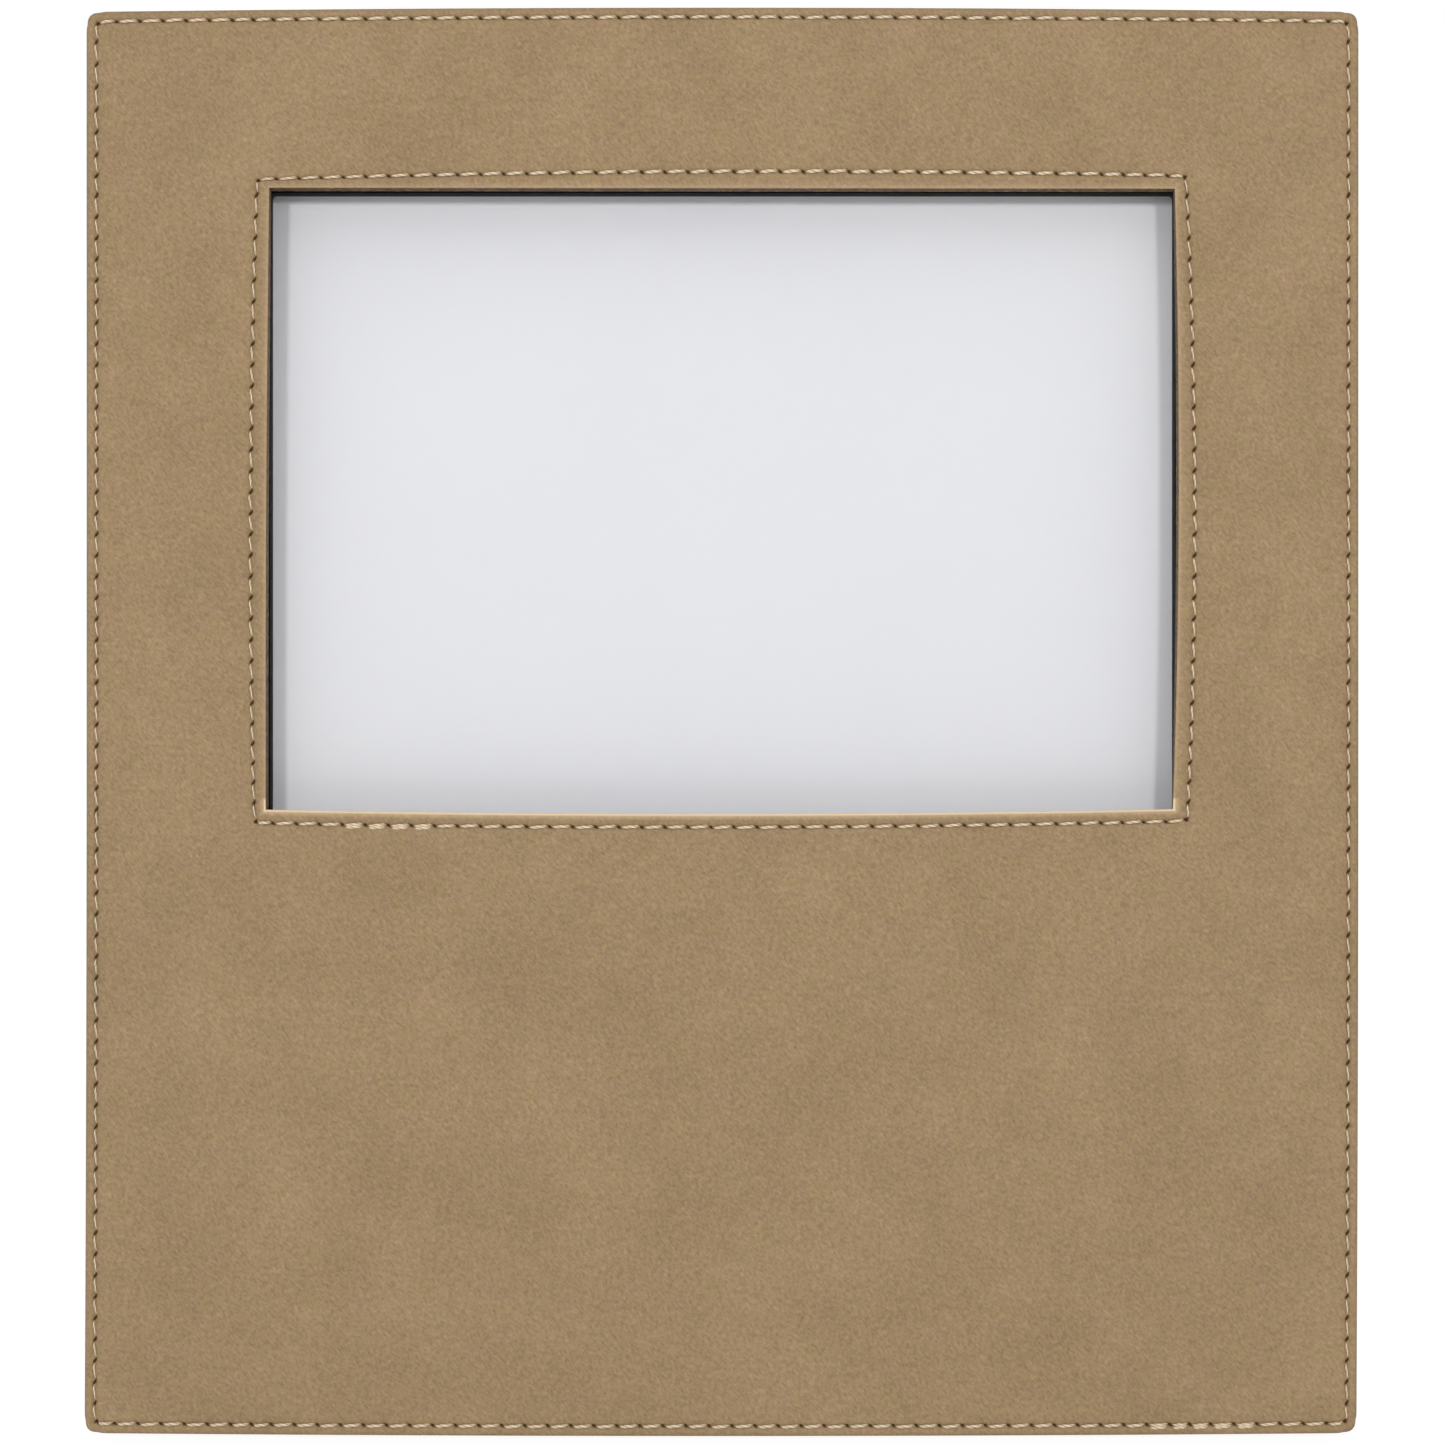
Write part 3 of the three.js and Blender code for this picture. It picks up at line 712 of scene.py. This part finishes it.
def wrapWindow(bm, loop, marks, flat):
    # over the window's edge, down its wall and in behind the board
    rounding = window["edgeRound"]
    depth = window["wallDepth"]
    inside = cover["thickness"]
    paintWearAndHighlight(loop, marks, window["faceWearAndHighlight"])
    for share, wearAndHighlight in window["edgeWearAndHighlight"]:
        angle = share * pi / 2
        outset = rounding * (1 - sin(angle))
        loop = loopOut(bm, loop, windowPlace(flat, outset, rounding * (1 - cos(angle))))
        paintWearAndHighlight(loop, marks, wearAndHighlight)
    loop = loopOut(bm, loop, windowPlace(flat, 0, window["wallStart"]))
    paint(loop, marks, (0, 1, 0, 1))
    for level in (window["wallMiddle"], depth - window["wallRound"]):
        loop = loopOut(bm, loop, windowPlace(flat, 0, level))
    loop = loopOut(bm, loop, windowPlace(flat, window["wallRound"], depth))
    loop = loopOut(bm, loop, windowPlace(flat, window["turnIn"], depth))
    loop = loopOut(bm, loop, windowPlace(flat, window["turnIn"], depth - inside))
    loop = loopOut(bm, loop, windowPlace(flat, inside, depth - inside))
    return loopOut(bm, loop, windowPlace(flat, inside, inside + gluedGap))


def buildCover():
    bm = bmesh.new()
    layGrid(bm)
    long = [edge for edge in bm.edges if edge.calc_length() >= grid["shortestCut"]]
    stitched = [edge for edge in long if besideSeam(edge)]
    bmesh.ops.subdivide_edges(bm, edges=stitched, cuts=grid["cutsPerStitch"])

    marks = bm.verts.layers.float_color.new("marks")
    flat = bm.verts.layers.float_vector.new("flat")
    for vert in bm.verts:
        u = crowded(linesU, vert.co.x)
        v = crowded(linesV, vert.co.y)
        height, hole = foldHeight(u, v)
        u, v = drawnIn(*roundedCorner(u, v))
        vert.co = (u, v, height)
        # red: painted shade in the needle holes
        vert[marks] = (hole, 0, 0, 1)
        vert[flat] = (u, v, height)

    margin = 0.6
    outerEdges = []
    windowEdges = []
    for edge in bm.edges:
        if edge.is_boundary:
            (windowEdges if withinWindow(edgeMiddle(edge), margin) else outerEdges).append(edge)
    print("cover grid", len(bm.verts), "open edges", len(outerEdges), len(windowEdges))

    outerEnd = wrapOutside(bm, outerEdges, marks, flat)
    windowEnd = wrapWindow(bm, windowEdges, marks, flat)
    bmesh.ops.triangle_fill(bm, use_beauty=True, use_dissolve=False, edges=outerEnd + windowEnd)
    print("cover closed", not any(edge.is_boundary for edge in bm.edges), "faces", len(bm.faces))

    for vert in bm.verts:
        vert.co = strayed(*vert.co)
    bm.verts.layers.float_vector.remove(flat)
    bmesh.ops.recalc_face_normals(bm, faces=bm.faces)
    for face in bm.faces:
        face.smooth = True
    bm.transform(panelMatrix)
    return addPiece(bm, "leatherette_cover", leatherette, "leatherette", "frame", ["front_cover"])


buildCover()


# The stitches

stitch = {
    "radius": 0.31,
    "uprightRadius": 0.23,
    "sides": 8,
    "rings": 5,
    "turns": 1.25,  # of the two plies in one stitch
    "waist": 0.72,  # of the thread between its plies
    "taper": 0.45,
    "dive": 0.75,  # of its ends into the leather
    "gap": 0.34,  # from a needle hole to the stitch's end
    "slant": radians(4.5),
    "uprightSlant": radians(8),
    "slantSpread": (0.7, 1.3),
    "sway": 0.05,
    "uprightSink": 0.3,  # on the upright sides a stitch sinks in towards its lower end
    "uprightThinning": 0.4,
    "plyValleyShade": 0.75,
    "endShade": 0.5,
    "doubleOffset": 0.42,  # of the second thread where a seam is fastened off
}
fastenedOff = {"outer": (77, 97), "window": (-70, -51)}  # where along the bottom of each seam


def stitchMesh(radius):
    # one stitch along x, from 0 to 1
    bm = bmesh.new()
    bmesh.ops.create_cone(bm, cap_ends=True, segments=stitch["sides"], radius1=1, radius2=1, depth=1)
    long = [edge for edge in bm.edges if abs(edge.verts[0].co.z - edge.verts[1].co.z) > 0.5]
    bmesh.ops.subdivide_edges(bm, edges=long, cuts=stitch["rings"])
    plyShade = bm.verts.layers.float_color.new("plyShade")
    for vert in bm.verts:
        share = vert.co.z + 0.5
        around = atan2(vert.co.y, vert.co.x)
        lobe = abs(cos(around))
        end = abs(2 * share - 1)
        size = radius * (stitch["waist"] + (1 - stitch["waist"]) * lobe) * (1 - stitch["taper"] * end ** 4)
        # painted shade in the valleys between the plies and where the stitch dives into the leather
        bright = 1 - stitch["plyValleyShade"] * (1 - lobe) - stitch["endShade"] * end ** 6
        vert[plyShade] = (clamp(bright, 0, 1), 0, 0, 1)
        angle = around + stitch["turns"] * 2 * pi * share
        vert.co = (share, size * cos(angle), size * sin(angle))
    for face in bm.faces:
        face.smooth = True
    mesh = bpy.data.meshes.new("stitch")
    bm.to_mesh(mesh)
    bm.free()
    return mesh


levelStitch = stitchMesh(stitch["radius"])
uprightStitch = stitchMesh(stitch["uprightRadius"])


def stitchPlace(point, start, end, line, upright, slant, sway):
    share, side, up = point
    pitch = abs(end - start)
    gap = stitch["gap"] / pitch
    along = start + (end - start) * (gap + (1 - 2 * gap) * share)
    off = (share - 0.5) * (pitch - 2 * stitch["gap"]) * slant + sway
    high = cover["base"] - seamFold["shoulder"] - stitch["dive"] * abs(2 * share - 1) ** 5
    if upright:
        high -= stitch["uprightSink"] * share ** 2
        side *= 1 - stitch["uprightThinning"] * share
        u, v = line + side + off, along
    else:
        u, v = along, line + side + off
    u, v = drawnIn(u, v)
    return strayed(u, v, high + up)


def sewSeam(name, seam, fastened, replaced, seed):
    dice = random.Random(seed)
    sides = []
    for level in (-1, 1):
        sides.append((False, seam["holesU"], seam["middle"] + level * seam["halfV"]))
        sides.append((True, seam["holesV"][::-1], level * seam["halfU"]))
    doubled = [hole for hole in seam["holesU"] if fastened[0] < hole < fastened[1]]
    sides.append((False, doubled, seam["middle"] - seam["halfV"] - stitch["doubleOffset"]))
    bm = bmesh.new()
    for upright, holes, line in sides:
        lean = stitch["uprightSlant"] if upright else stitch["slant"]
        for start, end in zip(holes, holes[1:]):
            before = len(bm.verts)
            bm.from_mesh(uprightStitch if upright else levelStitch)
            bm.verts.ensure_lookup_table()
            slant = lean * dice.uniform(*stitch["slantSpread"])
            sway = dice.uniform(-stitch["sway"], stitch["sway"])
            for vert in bm.verts[before:]:
                vert.co = stitchPlace(vert.co, start, end, line, upright, slant, sway)
    bmesh.ops.recalc_face_normals(bm, faces=bm.faces)
    bm.transform(panelMatrix)
    return addPiece(bm, name, thread, "thread", "frame", replaced)


sewSeam("outer_seam_stitches", seams["outer"], fastenedOff["outer"], ["outer_seam_thread"], 3)
sewSeam("window_seam_stitches", seams["window"], fastenedOff["window"], ["window_seam_thread"], 5)
print("seams sewn")


# The other pieces take their finishes; the velveteen covers, leaves, buttons and rivets become a merged copy
# of the solid with its edges broken

softening = {
    "mergeDistance": 0.000005,
    "flatWithin": radians(1),
    "cornerAbove": radians(30),
    "segments": 2,
    "small": {"width": 0.00015, "smoothBelow": radians(40)},
    "velveteen": {"width": 0.0003, "smoothBelow": radians(20)},
    "leaf": {"width": 0.00012, "smoothBelow": radians(20)},
}


def softened(node, material, width, smoothBelow):
    bm = bmesh.new()
    bm.from_mesh(frame["nodes"][node].data)
    bmesh.ops.remove_doubles(bm, verts=bm.verts, dist=softening["mergeDistance"])
    bmesh.ops.dissolve_limit(
        bm, angle_limit=softening["flatWithin"], use_dissolve_boundaries=False,
        verts=bm.verts, edges=bm.edges,
    )
    corners = []
    for edge in bm.edges:
        if edge.is_manifold and edge.calc_face_angle(0) > softening["cornerAbove"]:
            corners.append(edge)
    bmesh.ops.bevel(
        bm, geom=corners, offset=width, offset_type="OFFSET", segments=softening["segments"],
        profile=0.5, affect="EDGES", clamp_overlap=True, material=-1,
    )
    bmesh.ops.recalc_face_normals(bm, faces=bm.faces)
    for face in bm.faces:
        face.smooth = True
    for edge in bm.edges:
        edge.smooth = edge.calc_face_angle(0) < smoothBelow
    body = body_of(frame["nodes"][node])[0]
    record = next(part for part in frame["record"]["subparts"] if part["node"] == node)
    return addPiece(bm, node + "_finished", material, record["material_slot"], body, [node])


finishes = {
    "front_cover": leatherette,
    "outer_seam_thread": thread,
    "window_seam_thread": thread,
    "facing_board": rawBoard,
    "core_frame": mdf,
    "window_lining": velveteen,
    "glass_pane": glass,
    "insert_sheet": insertPaper,
    "filler_card": greyCard,
    "back_door": mdf,
    "back_door_cover": velveteen,
    "rear_lining": velveteen,
    "easel_leg": mdf,
    "easel_leg_cover": velveteen,
}
for node, item in frame["nodes"].items():
    item.data.materials.clear()
    item.data.materials.append(finishes.get(node, platedSteel))
for node in frame["nodes"]:
    material = finishes.get(node, platedSteel)
    if node in ("easel_leg_cover", "back_door_cover"):
        softened(node, material, **softening["velveteen"])
    elif "leaf" in node:
        softened(node, material, **softening["leaf"])
    elif "button" in node or "rivet" in node:
        softened(node, material, **softening["small"])
print("finishes applied")


# Floor, light and camera

floorTone = {
    "lit": 0.85,  # as the lamps and the part see it
    "glow": 0.93,  # as the camera sees it, with the rest from the light that falls on it
    "shadow": 0.17,
    "size": 6,
}


def floorMaterial():
    material, nodes, links, shader = newMaterial("floorPaper")
    shader.inputs["Base Color"].default_value = (*grey(floorTone["lit"]), 1)
    shader.inputs["Roughness"].default_value = 1.0
    shader.inputs["Specular IOR Level"].default_value = 0.0
    seen = nodes.new("ShaderNodeLightPath")
    either = nodes.new("ShaderNodeMath")
    either.operation = "MAXIMUM"
    links.new(seen.outputs["Is Camera Ray"], either.inputs[0])
    links.new(seen.outputs["Is Glossy Ray"], either.inputs[1])
    shown = nodes.new("ShaderNodeMath")
    shown.operation = "MAXIMUM"
    links.new(either.outputs[0], shown.inputs[0])
    links.new(seen.outputs["Is Transmission Ray"], shown.inputs[1])
    # seen straight or in a reflection, the floor is white paper that only takes a faint shadow
    glow = nodes.new("ShaderNodeEmission")
    glow.inputs["Color"].default_value = (*grey(floorTone["glow"]), 1)
    glow.inputs["Strength"].default_value = 1.0
    faint = nodes.new("ShaderNodeBsdfDiffuse")
    faint.inputs["Color"].default_value = (*grey(floorTone["shadow"]), 1)
    white = nodes.new("ShaderNodeAddShader")
    links.new(glow.outputs["Emission"], white.inputs[0])
    links.new(faint.outputs["BSDF"], white.inputs[1])
    mix = nodes.new("ShaderNodeMixShader")
    links.new(shown.outputs[0], mix.inputs["Fac"])
    links.new(shader.outputs["BSDF"], mix.inputs[1])
    links.new(white.outputs["Shader"], mix.inputs[2])
    links.new(mix.outputs["Shader"], nodes["Material Output"].inputs["Surface"])
    return material


def addFloor():
    bm = bmesh.new()
    bmesh.ops.create_grid(bm, x_segments=1, y_segments=1, size=floorTone["size"])
    mesh = bpy.data.meshes.new("floor")
    bm.to_mesh(mesh)
    bm.free()
    mesh.materials.append(floorMaterial())
    floor = bpy.data.objects.new("floor", mesh)
    bpy.context.scene.collection.objects.link(floor)
    return floor


# places are to the right of the panel's middle, up the panel from it, and out from its face, in metres
lights = {
    "left": {"place": (-0.39, 0.25, 1.45), "size": 0.12, "power": 4.95},
    "right": {"place": (0.36, 0.25, 1.45), "size": 0.11, "power": 4.55},
    "above": {"place": (0.0, 0.9, 0.7), "size": 1.0, "power": 2},
    "rear": {"place": (0.1, 1.1, -1.3), "size": 1.2, "power": 8},
}
worldStrength = 0.41
# the photo's own viewpoint: how far off, and how wide the picture is at the panel's face, in metres
view = {"distance": 0.6, "fieldWidth": 0.2608, "sensor": 36, "nearest": 0.01}
panelCentre = panelMatrix @ Vector((0, panelMiddle, 0))


def addLight(name, place, size, power):
    right, up, out = place
    place = panelCentre + right * Vector((1, 0, 0)) + up * upPanel + out * outward
    lamp = bpy.data.lights.new(name, "AREA")
    lamp.shape = "SQUARE"
    lamp.size = size
    lamp.energy = power
    item = bpy.data.objects.new(name, lamp)
    item.location = place
    item.rotation_euler = (panelCentre - place).to_track_quat("-Z", "Y").to_euler()
    bpy.context.scene.collection.objects.link(item)
    return item


def addWorld():
    world = bpy.data.worlds.new("studio")
    world.use_nodes = True
    nodes = world.node_tree.nodes
    links = world.node_tree.links
    light = nodes["Background"]
    light.inputs["Color"].default_value = (1, 1, 1, 1)
    light.inputs["Strength"].default_value = worldStrength
    white = nodes.new("ShaderNodeBackground")
    white.inputs["Color"].default_value = (1, 1, 1, 1)
    white.inputs["Strength"].default_value = 1.0
    seen = nodes.new("ShaderNodeLightPath")
    mix = nodes.new("ShaderNodeMixShader")
    links.new(seen.outputs["Is Camera Ray"], mix.inputs["Fac"])
    links.new(light.outputs["Background"], mix.inputs[1])
    links.new(white.outputs["Background"], mix.inputs[2])
    links.new(mix.outputs["Shader"], nodes["World Output"].inputs["Surface"])
    bpy.context.scene.world = world


def addCamera():
    camera = bpy.data.cameras.new("camera")
    camera.sensor_width = view["sensor"]
    camera.lens = view["sensor"] * view["distance"] / view["fieldWidth"]
    camera.clip_start = view["nearest"]
    item = bpy.data.objects.new("camera", camera)
    item.location = panelCentre + view["distance"] * outward
    item.rotation_euler = (-outward).to_track_quat("-Z", "Y").to_euler()
    bpy.context.scene.collection.objects.link(item)
    bpy.context.scene.camera = item


addCamera()
addFloor()
for name, facts in lights.items():
    addLight(name, **facts)
addWorld()
bpy.context.scene.view_settings.view_transform = "Standard"
print("stage set")
